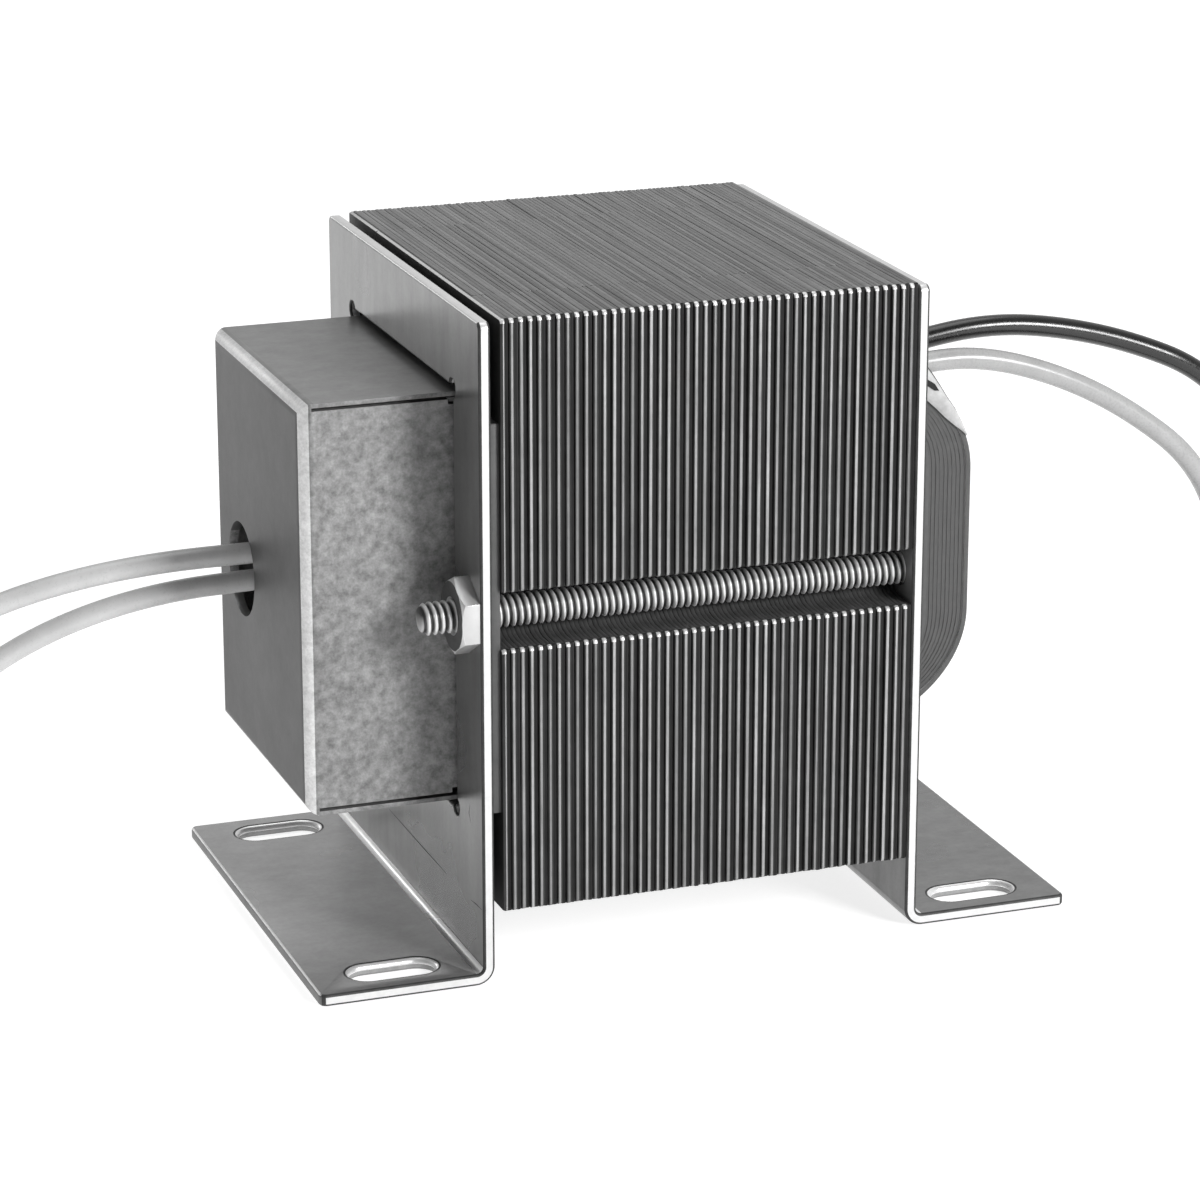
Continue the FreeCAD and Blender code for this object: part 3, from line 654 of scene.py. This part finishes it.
# ---------------------------------------------------- sheet parts, fasteners
def bracket_tone(c, n):
    """0 plate, 1 worn edges with a painted highlight, 2 the foot's cut end in painted shade, 3 dark
    corner lines of painted shade, 4 slot walls, 5 the face against the core in painted shade, 6 the
    inner fold and the slot rims with a painted highlight, 7 the left foot's top in painted light."""
    x = abs(c.x)
    nx, ny, nz = abs(n.x), abs(n.y), n.z
    if x > XI + 22.83 - 0.25 and nx > 0.2:
        return 2 if nx > 0.75 else 1
    if XI + 4.9 < x < XI + 19.0 and 22.5 < abs(c.y) < 30 and 0.02 < c.z < 1.517:
        if abs(nz) < 0.15:
            return 4
        # Slot rims: the outermost segment a dark line of painted shade, the rest near white as a
        # painted highlight.
        return 3 if nz > 0.93 else 6 if nz > 0 else 0
    if ny > 0.97:
        return 1
    # Corner bevels beside the cut edges: dark lines of painted shade.
    if ny > 0.15 and (nx > 0.15 or (c.z < 4 and abs(nz) > 0.15)):
        return 3
    if ny > 0.15:
        return 1
    if XI + SHEET - 0.1 < x < XI + SHEET + 0.95 and SHEET - 0.05 < c.z < 2.5 and nz > 0.1:
        return 6
    if nz > 0.9 and c.z < 2 and c.x < -XI - 2:
        return 7
    if nz > 0.3 and c.z > 80:
        return 1
    if nx > 0.9 and x < XI + 0.05:
        return 5
    return 0


def slot_rim(c):
    return c.z > 1.4 and XI + 4.8 < abs(c.x) < XI + 19.0 and 22 < abs(c.y) < 30 and c.z < 1.6


for node in ("left_bracket", "right_bracket"):
    refined(node, [M_ZINC, M_RIM_HIGHLIGHT, M_ZEND_SHADE, M_ZLINE_SHADE, M_ZWALL, M_ZIN, M_BEND_HIGHLIGHT, M_FOOT_LIT], 0.32,
            segments=3, which=bracket_tone, wide=(slot_rim, 0.75), clamp=False, flat_over=60)


def cover_tone(c, n):
    # 0 the end face, the flanges behind the bracket and the underside, in painted shade; 1 front and
    # back; 2 top; 3 the left end's rounded edges with a painted highlight.
    m = max(abs(n.x), abs(n.y), abs(n.z))
    if c.x > -29.3:
        return 0
    if m < 0.94 and c.x < -46.0 and n.x < -0.25 and max(abs(c.y) - 15, abs(c.z - ZC) - 20) > 0:
        return 3
    if abs(n.y) > 0.8:
        return 1
    return 2 if n.z > 0.7 else 0


refined("coil_cover", [M_COVER_SIDE_SHADE, M_COVER, M_COVER_TOP, M_COVER_EDGE_HIGHLIGHT], 0.14,
        which=cover_tone, flat_over=60)


def mark(name, route, width):
    """A fine dark line on the left plate's outer face; route is in YZ, mm."""
    x = -XI - SHEET - 0.004
    p = np.array(route, float)
    verts, faces = [], []
    for i, (y, z) in enumerate(p):
        d = p[min(i + 1, len(p) - 1)] - p[max(i - 1, 0)]
        d = d / np.linalg.norm(d)
        w = width * (0.2 if i in (0, len(p) - 1) else rng.uniform(0.7, 1.0)) / 2
        verts += [(x, y - d[1] * w, z + d[0] * w), (x, y + d[1] * w, z - d[0] * w)]
    for i in range(len(p) - 1):
        faces.append((2 * i, 2 * i + 1, 2 * i + 3, 2 * i + 2))
    make(name, verts, faces, [M_MARK], recalc=False)


mark("plate_dark_line", [(8.17, 9.58), (1.05, 9.55), (-8.50, 9.48), (-16.52, 9.50)], 0.24)
mark("plate_mark_low", [(-26.76, 9.62), (-28.78, 9.83), (-31.17, 9.92)], 0.26)
mark("plate_mark_edge", [(-26.73, 22.47), (-26.29, 21.11), (-27.06, 20.05)], 0.26)


def threaded(y, x0, x1, pitch=0.92, major=BOLT_D / 2, depth=0.50, around=36, per_turn=12):
    """Rolled thread as one grid; the crests are flattened and both ends are
    chamfered. The crest value it returns darkens the thread roots in the screw's material as painted
    shade."""
    verts, faces, crest = [], [], []
    count = int((x1 - x0) / pitch * per_turn)
    xs = np.linspace(x0, x1, count + 1)
    for x in xs:
        cap = min(major - 0.62 + (x - x0), major - 0.42 + (x1 - x))
        for j in range(around):
            a = 2 * math.pi * j / around
            ph = ((x - x0) / pitch + j / around) % 1.0
            tri = 1 - abs(2 * ph - 1)
            tri = min(1.0, max(0.0, tri * 1.45 - 0.22))
            r = min(major - depth + depth * tri, cap)
            verts.append((x, y + r * math.sin(a), ZC + r * math.cos(a)))
            crest.append(min(1.0, max(0.0, (tri - 0.25) / 0.55)))
    for i in range(count):
        for j in range(around):
            q = (j + 1) % around
            faces.append((i * around + j, i * around + q, (i + 1) * around + q, (i + 1) * around + j))
    faces.append(tuple(range(around - 1, -1, -1)))
    faces.append(tuple(count * around + j for j in range(around)))
    return verts, faces, crest


for node, y in (("front_bolt", -BOLT_Y), ("rear_bolt", BOLT_Y)):
    verts, faces, crest = threaded(y, -XI - SHEET - NUT_T - BOLT_TIP, XI + SHEET + 0.5)
    make(node + "_threaded", verts, faces, [M_SCREW], (node,), smooth_angle=75,
         point_attr=crest)


def nut_tone(c, n):
    """0 flats, 1 end faces, darkened as painted shade, 2 the crown's chamfer and broken edges,
    lightened as a painted highlight.
    """
    if abs(n.x) > 0.9:
        return 1
    return 2 if abs(n.x) > 0.12 else 0


refined("front_nut", [M_NUT, M_NUT_END_SHADE, M_RIM_HIGHLIGHT], 0.10, which=nut_tone)
refined("rear_nut", [M_NUT, M_NUT_END_SHADE, M_RIM_HIGHLIGHT], 0.10, which=nut_tone)


# --------------------------------------------------------------- surroundings
def floor_material():
    m, t, p = group("floor_paper")
    n = noise(t, (6, 6, 6), 1.0, 3.0, 0.5)
    t.links.new(ramp(t, n, [(0.3, 0.50), (0.7, 0.53)]), p.inputs["Base Color"])
    p.inputs["Roughness"].default_value = 0.75
    p.inputs["Emission Color"].default_value = (1, 1, 1, 1)
    p.inputs["Emission Strength"].default_value = 0.78
    return m


mesh = bpy.data.meshes.new("floor")
mesh.from_pydata([(-6, -6, -0.00002), (6, -6, -0.00002), (6, 6, -0.00002), (-6, 6, -0.00002)], [],
                 [(0, 1, 2, 3)])
mesh.materials.append(floor_material())
floor = bpy.data.objects.new("floor", mesh)
scene.collection.objects.link(floor)


def area(name, at, aim, size, power, shape="RECTANGLE"):
    d = bpy.data.lights.new(name, "AREA")
    d.shape = shape
    d.size, d.size_y = size
    d.energy = power
    o = bpy.data.objects.new(name, d)
    scene.collection.objects.link(o)
    o.location = at
    o.rotation_euler = (Vector(aim) - Vector(at)).to_track_quat("-Z", "Y").to_euler()
    return o


area("key", (0.60, -1.12, 0.58), (0, 0, 0.05), (0.36, 0.36), 16.3)
area("fold", (-0.44, 1.10, 0.36), (-0.045, 0, 0.004), (0.30, 0.30), 0.75)
area("top", (0.1, 0.25, 1.3), (0, 0, 0.04), (0.9, 0.9), 4.5)

world = bpy.data.worlds.new("studio")
scene.world = world
world.use_nodes = True
wt = world.node_tree
bg = wt.nodes["Background"]
tc = wt.nodes.new("ShaderNodeTexCoord")
mp = wt.nodes.new("ShaderNodeMapping")
mp.vector_type = "POINT"
mp.inputs["Rotation"].default_value = (0, 0, math.radians(-62))
mp.inputs["Location"].default_value = (0.5, 0, 0)
mp.inputs["Scale"].default_value = (0.5, 0.5, 0.5)
gr = wt.nodes.new("ShaderNodeTexGradient")
wt.links.new(tc.outputs["Generated"], mp.inputs["Vector"])
wt.links.new(mp.outputs["Vector"], gr.inputs["Vector"])
rp = wt.nodes.new("ShaderNodeValToRGB")
rp.color_ramp.elements[0].position, rp.color_ramp.elements[0].color = 0.25, (0.07, 0.07, 0.07, 1)
rp.color_ramp.elements[1].position, rp.color_ramp.elements[1].color = 0.92, (0.95, 0.95, 0.95, 1)
wt.links.new(gr.outputs["Fac"], rp.inputs["Fac"])
wt.links.new(rp.outputs["Color"], bg.inputs["Color"])
bg.inputs["Strength"].default_value = 0.75

scene.view_settings.view_transform = "Standard"
scene.view_settings.look = "None"
scene.view_settings.exposure = 0.0
